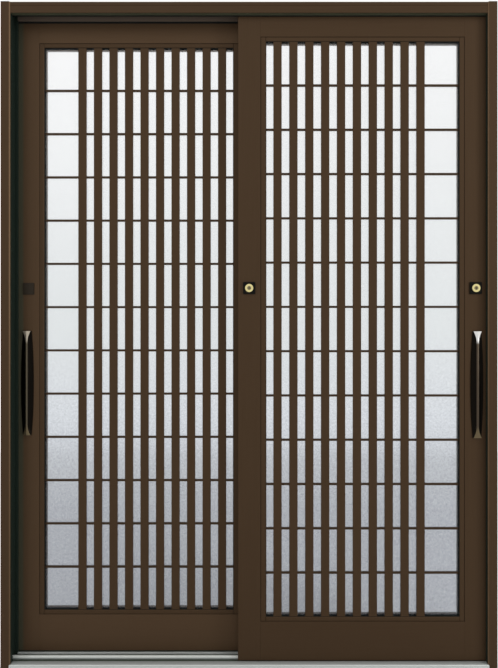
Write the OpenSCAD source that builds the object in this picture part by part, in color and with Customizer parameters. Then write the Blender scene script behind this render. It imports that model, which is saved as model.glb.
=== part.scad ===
// Two-leaf sliding entrance door in its frame, closed, seen from outside along +Y.
// The origin is the middle of the sill's underside, with +X to the right and +Z up.
// The right leaf is the outer one and laps in front of the left leaf, the inner one.

/* [Frame] */
// Overall width of the frame
frame_w = 1640; // [1400:10:1900]
// Overall height of the frame
frame_h = 2230; // [2050:10:2400]
// Width of a jamb seen from the front
jamb_face = 30; // [28:1:40]
// Height of the head seen from the front
head_face = 36; // [34:1:50]
// Depth of the front lip of the jambs
front_lip = 21; // [18:1:30]
// Depth of the rear lip of the jambs and head
rear_lip = 14; // [13:1:24]
// Thickness of the lip between the two tracks
mid_lip = 7; // [6:0.5:12]
// How far the jambs stand in front of the head
jamb_proud = 4; // [0:0.5:6]
// Wall of the hollow frame sections
frame_wall = 2; // [1.5:0.1:2.5]
// Depth of the jamb channels that take the leaves' edges
jamb_channel = 10; // [9:0.5:12]
// Chamfer on the jambs' inner front edge
jamb_chamfer = 3.5; // [1:0.5:5]
// Height of the solid top of the head, above the leaf channels
head_top = 10; // [8:1:16]

/* [Sill] */
// Height of the sill's front lip
sill_front_h = 38; // [32:1:50]
// Clearance between the outer leaf and the sill's front lip
sill_gap = 2; // [1:0.5:4]
// How much higher the inner leaf runs than the outer one
inner_step = 7; // [4:1:12]
// Depth of the rail grooves below a leaf's bottom edge
groove = 9; // [7:1:12]
// Height of a rail above a leaf's bottom edge
rail_up = 6; // [4:1:8]
// Thickness of the rail's upright
rail_w = 6; // [5:0.5:8]
// Side wall of the stainless rail cap
cap_wall = 1; // [0.8:0.1:1.5]

/* [Leaves] */
// Thickness of a leaf
leaf_t = 34; // [32:1:40]
// Clearance between a leaf and each side of its channel
run_gap = 2; // [1.5:0.5:3]
// Width of the stiles
stile_w = 76; // [66:1:90]
// Height of the top rail seen below the head
top_rail_h = 70; // [55:1:100]
// Height of the outer leaf's bottom rail
bottom_rail_h = 130; // [100:1:200]
// How far a leaf's top goes up into the head
head_entry = 14; // [10:1:16]
// How far a leaf's edge goes into the jamb
jamb_entry = 6; // [4:0.5:7]
// Wall of the hollow leaf sections
leaf_wall = 2; // [1.5:0.1:2.5]
// Chamfer on the stiles' free front edges
stile_chamfer = 1.5; // [0.5:0.5:3]
// Chamfer on the stiles' front edges where the rails and beads join them
stile_break = 0.5; // [0.2:0.1:1.5]

/* [Glazing] */
// Width of the glazing bead beside the meeting stile
bead_meeting = 18; // [14:1:26]
// Width of the glazing bead beside the jamb stile
bead_jamb = 17; // [14:1:28]
// Height of the glazing beads at the rails
bead_rail = 15; // [13:1:22]
// Thickness of the glass
glass_t = 5; // [3:0.5:6]
// Distance of the glass behind the leaf's face
glass_set = 11; // [10:0.5:14]
// How far the glass goes behind the beads
glass_bite = 9; // [6:0.5:10]
// Thickness of the glazing gasket
gasket_t = 2; // [1:0.5:2.5]
// Thickness of the gasket's lip that lines the opening
gasket_lip = 1.2; // [1:0.1:2]
// Width of the groove round the bead frame
bead_gap = 1.5; // [0.5:0.1:2]

/* [Lattice] */
// Width of an upright slat
slat_w = 28; // [20:1:36]
// Thickness of a slat
slat_t = 4.5; // [3:0.5:5]
// Distance from one slat to the next
slat_pitch = 53.2; // [45:0.1:70]
// Gap between the meeting bead and the first slat
first_gap = 24.5; // [10:0.5:40]
// Width of the clear pane beside the jamb bead
wide_pane = 115; // [60:1:160]
// How far the slats lie behind the leaf's face
slat_set = 2; // [1.5:0.5:3]
// Height of a cross bar
bar_h = 7.5; // [5:0.5:12]
// Rows of panes between the cross bars
rows = 13; // [6:1:16]

/* [Handles] */
// Length of a pull handle
handle_h = 355; // [250:5:450]
// Height of the handles' middle above the floor
handle_z = 962; // [850:1:1050]
// Distance of the handles' middle line from the leaf's jamb edge
handle_inset = 36; // [34:1:46]
// How far a handle stands out from the stile
handle_out = 10; // [8:0.5:24]
// Width of the handle's foot at the middle
handle_w = 42; // [32:1:50]
// Width of the front ridge at the middle
ridge_w = 8; // [6:0.5:16]
// Width of the handle at its flared ends
flare_w = 27; // [20:0.5:31]
// Length over which the ridge flares at each end
flare_l = 32; // [20:1:60]
// How far the ridge falls back at the ends
end_drop = 1; // [0.5:0.5:2]
// Distance of the flush finger pulls' middle line from the leaf's jamb edge
pull_inset = 40; // [34:1:46]
// Width of the flush finger pull on the room side
pull_w = 32; // [24:1:40]
// Height of the flush finger pull
pull_h = 140; // [90:5:200]
// Depth of the flush finger pull
pull_d = 11; // [8:0.5:13]

/* [Locks] */
// Height of the locks above the floor
lock_z = 1284; // [1180:1:1320]
// Distance of a jamb lock's cylinder from the leaf's jamb edge
lock_inset = 40; // [38:1:46]
// Side of the square escutcheons
plate_w = 40; // [36:1:46]
// Thickness of the escutcheons
plate_t = 5; // [2:0.5:6]
// Diameter of a lock cylinder
cylinder_d = 27; // [22:0.5:30]
// How far a cylinder stands out from the leaf
cylinder_out = 8; // [6.5:0.5:9]
// Diameter of a key plug
plug_d = 13; // [10:0.5:16]
// Length of a thumb turn's grip
turn_w = 30; // [22:1:36]
// Thickness of a hook bolt
hook_t = 5; // [4:0.5:6]
// Height of a hook bolt's arm
hook_arm = 12; // [10:0.5:14]
// How far a hook bolt catches behind its strike
hook_catch = 8; // [5:0.5:9]
// Travel of the meeting bolt
bolt_throw = 19; // [16:0.5:20]

/* [Rollers] */
// Radius of a roller's tread
tread_r = 14; // [11:0.5:15]
// Height of a roller's flanges beside the rail
flange_h = 4; // [3:0.5:5]
// Width of a roller
roller_w = 14; // [13:0.5:16]
// Diameter of a roller axle
axle_d = 8; // [6:0.5:10]
// Distance of a roller from the stile beside it
roller_inset = 60; // [50:5:150]

/* [Hidden] */
$fn = 48;
play = 0.3;
bore_play = 0.05;
brown = [0.285, 0.220, 0.160];
dark = [0.10, 0.11, 0.10];
silver = [0.70, 0.72, 0.70];
steel = [0.60, 0.60, 0.60];
brass = [0.83, 0.78, 0.52];
frosted = [0.88, 0.90, 0.91, 0.8];
bronze = [0.36, 0.29, 0.20];

// Depths, from the frame's front face to its back
channel_w = leaf_t + 2 * run_gap;
frame_d = front_lip + 2 * channel_w + mid_lip + rear_lip;
front_y = -frame_d / 2;
back_y = frame_d / 2;
head_front_y = front_y + jamb_proud;
outer_channel_y = front_y + front_lip;
mid_y = outer_channel_y + channel_w;
inner_channel_y = mid_y + mid_lip;
rear_y = inner_channel_y + channel_w;
outer_y = outer_channel_y + run_gap;
inner_y = inner_channel_y + run_gap;
track_y = leaf_t / 2;
leaf_gap = inner_y - outer_y - leaf_t;

// Heights
head_z = frame_h - head_face;
head_ceiling = frame_h - head_top;
mid_lip_z = head_z + 3;
outer_bottom = sill_front_h + sill_gap;
inner_bottom = outer_bottom + inner_step;
sill_mid_h = inner_bottom - 2 * sill_gap;
sill_rear_h = inner_bottom + 3;
leaf_top = head_z + head_entry;
bottom_rail_z = outer_bottom + bottom_rail_h;
top_rail_z = head_z - top_rail_h;
open_z0 = bottom_rail_z + bead_rail;
open_z1 = top_rail_z - bead_rail;

// Widths, for the right-hand half
jamb_x = frame_w / 2 - jamb_face;
channel_x = jamb_x + jamb_channel;
leaf_x0 = -stile_w / 2;
leaf_x1 = jamb_x + jamb_entry;
stile_x0 = leaf_x0 + stile_w;
stile_x1 = leaf_x1 - stile_w;
open_x0 = stile_x0 + bead_meeting;
open_x1 = stile_x1 - bead_jamb;

// Glazing
bead_set = 1;
bead_chamfer = 2;
bead_wall = 1.5;
bead_joint = 0.1;
bead_y = glass_set - gasket_t;
rear_stop_y = glass_set + glass_t + gasket_t;
slat_n = round((open_x1 - open_x0 - wide_pane) / slat_pitch);
row_h = (open_z1 - open_z0 - (rows - 1) * bar_h) / rows;

// Handles and locks
handle_x = leaf_x1 - handle_inset;
handle_rim = 3;
handle_steps = 44;
handle_pin_r = 4;
handle_pin_l = 12;
ridge_crown = 0.8;
flare_curve = 1.7;
flank_steps = 6;
pull_x = leaf_x1 - pull_inset;
pull_wall = 1.5;
pull_rim = 4;
pull_rim_t = 1.5;
lock_x = leaf_x1 - lock_inset;
cylinder_in = 12;
rose_t = 3;
spindle_r = 4;
spindle_in = 16;
cam_r = 9;
hook_x = leaf_x1 - 20;
hook_z = lock_z - 14;
hook_hub = 8;
hook_pin = 3;
hook_catch_x = channel_x + frame_wall + 1 - hook_x;
hook_reach = hook_catch_x + 8;
hook_sweep = sqrt(hook_reach * hook_reach + pow(hook_arm / 2 + hook_catch, 2));
slot_low = hook_arm / 2 + 1.5;
case_t = leaf_t - 14;
case_wall = 1.5;
strike_t = 1.4;
strike_half = 10;
strike_over = 18;
bolt_w = 10;
bolt_h = 26;
bolt_rest = 0.5;
bolt_l = bolt_throw + 6;
travel_gap = 16;
travel = handle_x - handle_w / 2 - stile_w / 2 - travel_gap;

// Rollers
axle_z = rail_up + tread_r + play;
bracket_l = 60;
bracket_gap = 2;
bracket_t = 2;
pocket_h = axle_z + tread_r + flange_h + bracket_gap + bracket_t;

// Screws
screw_r = 2;
screw_head_r = 4;
screw_head_t = 3;
screw_l = 30;
port_r = 4.5;
port_web = 2;
driver_r = 5;
fix_r = 2.75;
fix_driver_r = 6;
fix_end = 250;
fix_rows = 4;
head_fix_in = 220;
head_fix_x = frame_w / 2 - head_fix_in;
lip_port_y = [(head_front_y + outer_channel_y) / 2, (rear_y + back_y) / 2];
head_port_z = (head_z + frame_h) / 2;
sill_port_z = sill_front_h / 2;

LEAVES = [["outer", 1], ["inner", -1]];
FRAME_NODES = [
    "left_jamb", "right_jamb", "head", "sill", "rail_caps", "frame_screws", "frame_seals",
    "jamb_strikes", "door_stops"
];
LEAF_NODES = [
    "jamb_stile", "meeting_stile", "top_rail", "bottom_rail", "beads", "glass", "gasket", "slats", "bars",
    "handle", "inside_pull", "roller_brackets", "roller_1", "roller_2", "top_guides", "meeting_seal",
    "leaf_screws", "lock_case", "hook_bolt", "thumb_rose", "thumb_turn"
];
LOCK_NODES = [
    "lock_escutcheons", "lock_cylinders", "jamb_key_plug", "meeting_key_plug", "meeting_strike",
    "inner_lock_cover", "meeting_case", "meeting_bolt", "meeting_turn"
];

// Places of things that come in both leaves
function bottom_of(side) = side > 0 ? outer_bottom : inner_bottom;
function fix_z(i) = fix_end + i * (frame_h - 2 * fix_end) / (fix_rows - 1);
function slat_x(i) = open_x0 + first_gap + i * slat_pitch;
function bar_z(i) = open_z0 + (i + 1) * row_h + i * bar_h;
function roller_x(i) = i == 1 ? stile_x0 + roller_inset : stile_x1 - roller_inset;
function bottom_ports(side) = [bottom_of(side) + pocket_h + leaf_wall + 15, bottom_rail_z - leaf_wall - 15];
function top_ports() = [top_rail_z + leaf_wall + 15, leaf_top - leaf_wall - 20];

// A leaf's own coordinates: x as on the right leaf, y from its outside face, z as on the frame
module on_leaf(side) {
    if (side > 0) translate([0, outer_y, 0]) children();
    else translate([0, inner_y, 0]) mirror([1, 0, 0]) children();
}

module on_side(side) {
    if (side > 0) children();
    else mirror([1, 0, 0]) children();
}

module block(low, high) {
    translate(low) cube(high - low);
}

// A section drawn in y and z, run along x
module along_x(x0, x1) {
    translate([x0, 0, 0]) rotate([90, 0, 90]) linear_extrude(x1 - x0) children();
}

// An outline drawn in x and z, run along y
module along_y(y0, y1) {
    translate([0, y1, 0]) rotate([90, 0, 0]) linear_extrude(y1 - y0) children();
}

module area(x0, y0, x1, y1) {
    translate([x0, y0]) square([x1 - x0, y1 - y0]);
}

module bore_x(x0, x1, y, z, r) {
    translate([x0, y, z]) rotate([0, 90, 0]) cylinder(r = r, h = x1 - x0);
}

module rounded_area(w, h, r) {
    area(-w / 2 + r, -h / 2, w / 2 - r, h / 2);
    area(-w / 2, -h / 2 + r, w / 2, h / 2 - r);
    for (x = [-w / 2 + r, w / 2 - r], z = [-h / 2 + r, h / 2 - r]) translate([x, z]) circle(r);
}

// Hollow crossed by a web with a round screw port at each height in ports
module ported_hollow(y0, z0, y1, z1, y, ports) {
    difference() {
        area(y0, z0, y1, z1);
        for (z = ports) {
            area(y0 - 1, z - port_web / 2, y1 + 1, z + port_web / 2);
            translate([y, z]) circle(port_r);
        }
    }
    for (z = ports) translate([y, z]) circle(screw_r);
}

// Pan-head screw: the head bears at x, and the shank runs on in the direction dir
module screw(x, y, z, dir) {
    translate([x, y, z]) rotate([0, 90 * dir, 0]) {
        cylinder(r = screw_r, h = screw_l);
        translate([0, 0, -screw_head_t]) cylinder(r = screw_head_r, h = screw_head_t);
    }
}

// Frame

module jamb_outline() {
    polygon([
        [jamb_x + jamb_chamfer, front_y], [frame_w / 2, front_y], [frame_w / 2, back_y], [jamb_x, back_y],
        [jamb_x, rear_y], [channel_x, rear_y], [channel_x, inner_channel_y], [jamb_x, inner_channel_y],
        [jamb_x, mid_y], [channel_x, mid_y], [channel_x, outer_channel_y], [jamb_x, outer_channel_y],
        [jamb_x, front_y + jamb_chamfer]
    ]);
}

module jamb_hollow() {
    wide = jamb_x + frame_wall;
    deep = channel_x + frame_wall;
    outside = frame_w / 2 - frame_wall;
    c = 0.75 * jamb_chamfer;
    polygon([
        [wide + c, front_y + frame_wall], [outside, front_y + frame_wall],
        [outside, back_y - frame_wall], [wide, back_y - frame_wall], [wide, rear_y + frame_wall],
        [deep, rear_y + frame_wall], [deep, outer_channel_y - frame_wall],
        [wide, outer_channel_y - frame_wall], [wide, front_y + frame_wall + c]
    ]);
}

module jamb(side) {
    outside = frame_w / 2;
    hook_y = (side > 0 ? outer_y : inner_y) + track_y;
    slot_h = slot_low + hook_sweep;
    on_side(side) difference() {
        linear_extrude(frame_h) difference() {
            jamb_outline();
            jamb_hollow();
        }
        for (y = lip_port_y, z = [sill_port_z, head_port_z]) {
            bore_x(jamb_x - 1, jamb_x + frame_wall + 1, y, z, screw_r + 0.2);
            bore_x(outside - frame_wall - 1, outside + 1, y, z, driver_r);
        }
        for (y = [outer_y + track_y, inner_y + track_y], i = [0 : fix_rows - 1]) {
            bore_x(channel_x - 1, channel_x + frame_wall + 1, y, fix_z(i), fix_driver_r);
            bore_x(outside - frame_wall - 1, outside + 1, y, fix_z(i), fix_r);
        }
        block([channel_x - 1, hook_y - hook_t, hook_z - slot_low],
              [channel_x + frame_wall + 1, hook_y + hook_t, hook_z - slot_low + slot_h]);
    }
}

module left_jamb() {
    color(brown) jamb(-1);
}

module right_jamb() {
    color(brown) jamb(1);
}

module jamb_envelope(side) {
    on_side(side) translate([0, 0, -1]) linear_extrude(frame_h + 2) jamb_outline();
}

module head_section() {
    w = frame_wall;
    groove_z = head_ceiling - 1;
    difference() {
        area(head_front_y, head_z, back_y, frame_h);
        area(outer_channel_y, head_z - 1, mid_y, head_ceiling);
        area(mid_y, head_z - 1, inner_channel_y, mid_lip_z);
        area(inner_channel_y, head_z - 1, rear_y, head_ceiling);
        ported_hollow(head_front_y + w, head_z + w, outer_channel_y - w, frame_h - w,
                      lip_port_y[0], [head_port_z]);
        ported_hollow(rear_y + w, head_z + w, back_y - w, frame_h - w, lip_port_y[1], [head_port_z]);
        area(outer_channel_y, head_ceiling + w, rear_y, frame_h - w);
        area(head_front_y - 1, groove_z - 1, head_front_y + 1, groove_z);
    }
}

module head() {
    color(brown) difference() {
        along_x(-channel_x, channel_x) head_section();
        jamb_envelope(-1);
        jamb_envelope(1);
        for (x = [-head_fix_x, head_fix_x], y = [outer_y + track_y, inner_y + track_y]) {
            translate([x, y, head_ceiling - 1]) cylinder(r = fix_driver_r, h = frame_wall + 2);
            translate([x, y, frame_h - frame_wall - 1]) cylinder(r = fix_r, h = frame_wall + 2);
        }
    }
}

// The sill steps up from the front lip to the rear edge, with a rail in each groove
module sill_section() {
    w = frame_wall;
    nose = 2;
    outer_floor = outer_bottom - groove;
    inner_floor = inner_bottom - groove;
    outer_rail = outer_y + track_y;
    inner_rail = inner_y + track_y;
    cap_t = 2 * cap_wall;
    difference() {
        polygon([
            [front_y, 0], [front_y, sill_front_h - nose], [front_y + nose, sill_front_h],
            [outer_channel_y, sill_front_h], [outer_channel_y, outer_floor],
            [outer_rail - rail_w / 2, outer_floor], [outer_rail - rail_w / 2, outer_bottom + rail_up - cap_t],
            [outer_rail + rail_w / 2, outer_bottom + rail_up - cap_t], [outer_rail + rail_w / 2, outer_floor],
            [mid_y, outer_floor], [mid_y, sill_mid_h], [inner_channel_y, sill_mid_h],
            [inner_channel_y, inner_floor], [inner_rail - rail_w / 2, inner_floor],
            [inner_rail - rail_w / 2, inner_bottom + rail_up - cap_t],
            [inner_rail + rail_w / 2, inner_bottom + rail_up - cap_t], [inner_rail + rail_w / 2, inner_floor],
            [rear_y, inner_floor], [rear_y, sill_rear_h], [back_y, sill_rear_h], [back_y, 0]
        ]);
        ported_hollow(front_y + w, w, outer_channel_y - w, sill_front_h - w - nose,
                      lip_port_y[0], [sill_port_z]);
        area(outer_channel_y, w, outer_rail - w / 2, outer_floor - w);
        area(outer_rail + w / 2, w, mid_y, outer_floor - w);
        area(mid_y + w, w, inner_rail - w / 2, inner_floor - w);
        area(inner_rail + w / 2, w, rear_y, inner_floor - w);
        ported_hollow(rear_y + w, w, back_y - w, sill_rear_h - w, lip_port_y[1], [sill_port_z]);
    }
}

module sill() {
    color(silver) difference() {
        along_x(-channel_x, channel_x) sill_section();
        jamb_envelope(-1);
        jamb_envelope(1);
    }
}

// Stainless cap with a round top, pressed over a rail's upright
module rail_cap(y, top) {
    r = rail_w / 2 + cap_wall;
    along_x(-channel_x, channel_x) difference() {
        union() {
            area(y - r, top - 6 * cap_wall, y + r, top - cap_wall);
            area(y - r + cap_wall, top - cap_wall, y + r - cap_wall, top);
            for (s = [-1, 1]) translate([y + s * (r - cap_wall), top - cap_wall]) circle(cap_wall);
        }
        area(y - rail_w / 2, top - 7 * cap_wall, y + rail_w / 2, top - 2 * cap_wall);
    }
}

module rail_caps() {
    color(steel) {
        rail_cap(outer_y + track_y, outer_bottom + rail_up);
        rail_cap(inner_y + track_y, inner_bottom + rail_up);
    }
}

module frame_screws() {
    color(steel) for (side = [-1, 1], y = lip_port_y, z = [sill_port_z, head_port_z])
        on_side(side) screw(jamb_x + frame_wall, y, z, -1);
}

// Pile strips against the leaves' faces, two in the head and one in the jamb that each leaf closes on,
// and pile blocks that close the gap between the leaves at the head and on the sill
module frame_seals() {
    seal_t = run_gap - play;
    drop = 3;
    tall = 12;
    wide = 8;
    block_half = 30;
    block_inset = 0.5;
    color(dark) {
        for (z = [mid_lip_z - tall, sill_mid_h])
            block([-block_half, mid_y + block_inset, z],
                  [block_half, inner_channel_y - block_inset, z + tall]);
        for (y = [outer_channel_y, inner_channel_y])
            block([-jamb_x, y, head_z - drop], [jamb_x, y + seal_t, head_z - drop + tall]);
        for (side = [-1, 1]) on_side(side) {
            y = side > 0 ? outer_channel_y : inner_channel_y;
            block([channel_x - 1 - wide, y, bottom_of(side) + rail_up],
                  [channel_x - 1, y + seal_t, head_z - drop]);
        }
    }
}

// Plates on the jambs' channel floors that the hook bolts catch behind
module jamb_strikes() {
    color(steel) for (side = [-1, 1]) on_side(side) {
        y = (side > 0 ? outer_y : inner_y) + track_y;
        difference() {
            block([channel_x - strike_t, y - strike_half, hook_z - slot_low - strike_over],
                  [channel_x, y + strike_half, hook_z + hook_sweep + strike_over]);
            block([channel_x - strike_t - 1, y - hook_t + 1, hook_z - slot_low],
                  [channel_x + 1, y + hook_t - 1, hook_z + hook_sweep]);
        }
    }
}

// Rubber bumpers that each leaf closes on, and travel stops in the head's channels
module door_stops() {
    bumper_h = 60;
    bumper_w = 20;
    stop_l = 30;
    stop_gap = 0.5;
    color(dark) for (side = [-1, 1]) on_leaf(side) {
        for (z = [bottom_rail_z - bumper_h, top_rail_z])
            block([leaf_x1 + play, track_y - bumper_w / 2, z], [channel_x, track_y + bumper_w / 2, z + bumper_h]);
        block([leaf_x0 - travel - stop_gap - stop_l, 2, leaf_top + 1],
              [leaf_x0 - travel - stop_gap, leaf_t - 2, head_ceiling]);
    }
}

// Leaves

// Hollow upright from x0 to x1 with its front edges chamfered by c0 and c1
module stile_section(x0, x1, c0, c1) {
    w = leaf_wall;
    difference() {
        polygon([[x0 + c0, 0], [x1 - c1, 0], [x1, c1], [x1, leaf_t], [x0, leaf_t], [x0, c0]]);
        area(x0 + w, w, x1 - w, leaf_t - w);
    }
}

// Hollow stop behind the glass
module rear_stop_section(a0, b0, a1, b1) {
    difference() {
        area(a0, b0, a1, b1);
        area(a0 + leaf_wall, b0 + leaf_wall, a1 - leaf_wall, b1 - leaf_wall);
    }
}

module stile_bar(side, x0, x1, c0, c1) {
    translate([0, 0, bottom_of(side)]) linear_extrude(leaf_top - bottom_of(side))
        stile_section(x0, x1, c0, c1);
}

module stile_stop(x0, x1) {
    translate([0, 0, bottom_rail_z]) linear_extrude(top_rail_z - bottom_rail_z)
        rear_stop_section(x0, rear_stop_y, x1, leaf_t);
}

// Slot in a stile's foot for the rail to pass through
module rail_notch(side, x0, x1) {
    half = rail_w / 2 + cap_wall + 2;
    low = bottom_of(side);
    block([x0 - 1, track_y - half, low - 1], [x1 + 1, track_y + half, low + rail_up + 3]);
}

module leaf_screw_holes(side, inner_wall_x, outer_wall_x) {
    for (z = concat(bottom_ports(side), top_ports())) {
        bore_x(inner_wall_x - 1, inner_wall_x + leaf_wall + 1, track_y, z, screw_r + 0.2);
        bore_x(outer_wall_x - 1, outer_wall_x + leaf_wall + 1, track_y, z, driver_r);
    }
}

module hook_slot() {
    block([leaf_x1 - leaf_wall - 1, track_y - hook_t, hook_z - slot_low],
          [leaf_x1 + 1, track_y + hook_t, hook_z + hook_sweep]);
}

module cylinder_hole(x, y0, y1, d) {
    translate([x, 0, lock_z]) along_y(y0, y1) circle(d = d);
}

module pull_outline(grow) {
    w = pull_w + 2 * grow;
    h = pull_h + 2 * grow;
    area(-w / 2, -(h - w) / 2, w / 2, (h - w) / 2);
    for (z = [-(h - w) / 2, (h - w) / 2]) translate([0, z]) circle(d = w);
}

module jamb_stile(side) {
    color(brown) on_leaf(side) difference() {
        union() {
            stile_bar(side, stile_x1, leaf_x1, stile_break, stile_chamfer);
            stile_stop(open_x1, stile_x1);
        }
        rail_notch(side, stile_x1, leaf_x1);
        leaf_screw_holes(side, stile_x1, leaf_x1 - leaf_wall);
        hook_slot();
        if (side > 0) cylinder_hole(lock_x, -1, leaf_wall + 1, cylinder_d + 2 * play);
        cylinder_hole(lock_x, leaf_t - leaf_wall - 1, leaf_t + 1, 2 * spindle_r + 4);
        translate([pull_x, 0, handle_z]) along_y(leaf_t - leaf_wall - 1, leaf_t + 1) pull_outline(play);
        for (z = handle_pin_z()) translate([handle_x, 0, z]) along_y(-1, leaf_wall + 1) circle(handle_pin_r);
    }
}

module meeting_stile(side) {
    bolt_x = bolt_w / 2 + 1;
    bolt_z = bolt_h / 2 + 1;
    color(brown) on_leaf(side) difference() {
        union() {
            stile_bar(side, leaf_x0, stile_x0, stile_chamfer, stile_break);
            stile_stop(stile_x0, open_x0);
        }
        rail_notch(side, leaf_x0, stile_x0);
        leaf_screw_holes(side, stile_x0 - leaf_wall, leaf_x0);
        if (side > 0) {
            cylinder_hole(0, -1, leaf_wall + 1, cylinder_d + 2 * play);
            block([-bolt_x, leaf_t - leaf_wall - 1, lock_z - bolt_z], [bolt_x, leaf_t + 1, lock_z + bolt_z]);
        }
        else {
            cylinder_hole(0, leaf_t - leaf_wall - 1, leaf_t + 1, 2 * spindle_r + 4);
            block([-bolt_x, -1, lock_z - bolt_z], [bolt_x, leaf_wall + 1, lock_z + bolt_z]);
        }
    }
}

module top_rail(side) {
    w = leaf_wall;
    color(brown) on_leaf(side) {
        along_x(stile_x0, stile_x1) difference() {
            area(0, top_rail_z, leaf_t, leaf_top);
            ported_hollow(w, top_rail_z + w, leaf_t - w, leaf_top - w, track_y, top_ports());
        }
        along_x(open_x0, open_x1) rear_stop_section(rear_stop_y, open_z1, leaf_t, top_rail_z);
    }
}

// Hollow bottom rail over an open pocket that takes the rollers
module bottom_rail(side) {
    w = leaf_wall;
    low = bottom_of(side);
    color(brown) on_leaf(side) {
        along_x(stile_x0, stile_x1) difference() {
            area(0, low, leaf_t, bottom_rail_z);
            area(w, low - 1, leaf_t - w, low + pocket_h);
            ported_hollow(w, low + pocket_h + w, leaf_t - w, bottom_rail_z - w, track_y, bottom_ports(side));
        }
        along_x(open_x0, open_x1) rear_stop_section(rear_stop_y, bottom_rail_z, leaf_t, open_z0);
    }
}

// Snap-in bead from the frame at a to the opening at b, with a chamfer on the opening's side
module bead_section(a, b) {
    c = bead_chamfer * sign(b - a);
    w = bead_wall * sign(b - a);
    difference() {
        polygon([[a, bead_set], [b - c, bead_set], [b, bead_set + abs(c)], [b, bead_y], [a, bead_y]]);
        area(min(a + w, b - w), bead_set + abs(c) + abs(w), max(a + w, b - w), bead_y - abs(w));
    }
}

// Groove between the bead frame and the stiles and rails, from the front
module bead_groove() {
    floor_y = bead_set + bead_chamfer;
    difference() {
        block([stile_x0 - 1, -1, bottom_rail_z - 1], [stile_x1 + 1, floor_y, top_rail_z + 1]);
        block([stile_x0 + bead_gap, -2, bottom_rail_z + bead_gap],
              [stile_x1 - bead_gap, floor_y + 1, top_rail_z - bead_gap]);
    }
}

module beads(side) {
    color(brown) on_leaf(side) difference() {
        bead_frame();
        bead_groove();
    }
}

// Upright beads at full height, with the level ones between them
module bead_frame() {
    translate([0, 0, bottom_rail_z]) linear_extrude(top_rail_z - bottom_rail_z) {
        bead_section(stile_x0, open_x0);
        bead_section(stile_x1, open_x1);
    }
    along_x(open_x0 + bead_joint, open_x1 - bead_joint) {
        mirror([1, -1]) bead_section(bottom_rail_z, open_z0);
        mirror([1, -1]) bead_section(top_rail_z, open_z1);
    }
}

module glass(side) {
    color(frosted) on_leaf(side)
        block([open_x0 - glass_bite, glass_set, open_z0 - glass_bite],
              [open_x1 + glass_bite, glass_set + glass_t, open_z1 + glass_bite]);
}

// Rubber channel round the glass edge, with a lip in front that lines the opening
module gasket(side) {
    edge = glass_bite + gasket_t;
    lip_y = bead_set + bead_chamfer;
    color(dark) on_leaf(side) difference() {
        union() {
            block([open_x0 - edge, bead_y, open_z0 - edge], [open_x1 + edge, rear_stop_y, open_z1 + edge]);
            block([open_x0, lip_y, open_z0], [open_x1, rear_stop_y, open_z1]);
        }
        block([open_x0 + gasket_lip, lip_y - 1, open_z0 + gasket_lip],
              [open_x1 - gasket_lip, rear_stop_y + 1, open_z1 - gasket_lip]);
        block([open_x0 - glass_bite, glass_set, open_z0 - glass_bite],
              [open_x1 + glass_bite, glass_set + glass_t, open_z1 + glass_bite]);
    }
}

module slats(side) {
    c = 1;
    color(brown) on_leaf(side)
        translate([0, 0, open_z0 + gasket_lip]) linear_extrude(open_z1 - open_z0 - 2 * gasket_lip)
            for (i = [0 : slat_n - 1]) translate([slat_x(i), slat_set])
                polygon([[c, 0], [slat_w - c, 0], [slat_w, c], [slat_w, slat_t], [0, slat_t], [0, c]]);
}

// Cross bars between the slats and the glass
module bars(side) {
    color(brown) on_leaf(side) for (i = [0 : rows - 2])
        block([open_x0 + gasket_lip, slat_set + slat_t, bar_z(i)],
              [open_x1 - gasket_lip, glass_set - play, bar_z(i) + bar_h]);
}

// Handles

function handle_pin_z() = [handle_z - handle_h / 2 + 25, handle_z + handle_h / 2 - 25];
function end_share(t, length) = max(0, 1 - (1 - abs(t)) * handle_h / 2 / length);
function ridge_half(t) = (ridge_w + (flare_w - ridge_w) * pow(end_share(t, flare_l), flare_curve)) / 2;
function foot_half(t) = (handle_w - (handle_w - flare_w - 1) * pow(abs(t), 2.4)) / 2;
function ridge_out(t) = handle_out - end_drop * pow(abs(t), 10);

// One side of the scooped flank, from the foot's edge in to the ridge
function flank(t, side) = [for (i = [0 : flank_steps])
    let (a = 90 * i / flank_steps, foot = foot_half(t), ridge = ridge_half(t), out = ridge_out(t))
    [side * (foot - (foot - ridge) * sin(a)), handle_rim + (out - handle_rim) * (1 - cos(a))]];
function reversed(list) = [for (i = [len(list) - 1 : -1 : 0]) list[i]];
function handle_ring(t) = concat(
    [[-foot_half(t), 0]], flank(t, -1), [[0, ridge_out(t) + ridge_crown]], reversed(flank(t, 1)), [[foot_half(t), 0]]
);

// Lofted grip: a straight ridge that flares at both ends, with scooped flanks down to a lens-shaped foot
module handle_body() {
    rings = [for (i = [0 : handle_steps]) handle_ring(2 * i / handle_steps - 1)];
    n = len(rings[0]);
    points = [for (i = [0 : handle_steps]) for (p = rings[i])
        [p[0], -p[1], handle_h * (i / handle_steps - 0.5)]];
    walls = [for (i = [0 : handle_steps - 1]) for (j = [0 : n - 1])
        let (a = i * n + j, b = i * n + (j + 1) % n) each [[a, a + n, b + n], [a, b + n, b]]];
    low_end = [for (j = [0 : n - 1]) j];
    high_end = [for (j = [n - 1 : -1 : 0]) handle_steps * n + j];
    polyhedron(points, concat(walls, [low_end, high_end]));
}

module handle(side) {
    color(bronze) on_leaf(side) {
        translate([handle_x, 0, handle_z]) handle_body();
        for (z = handle_pin_z()) translate([handle_x, 0, z]) along_y(-1, handle_pin_l) circle(handle_pin_r);
    }
}

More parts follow.
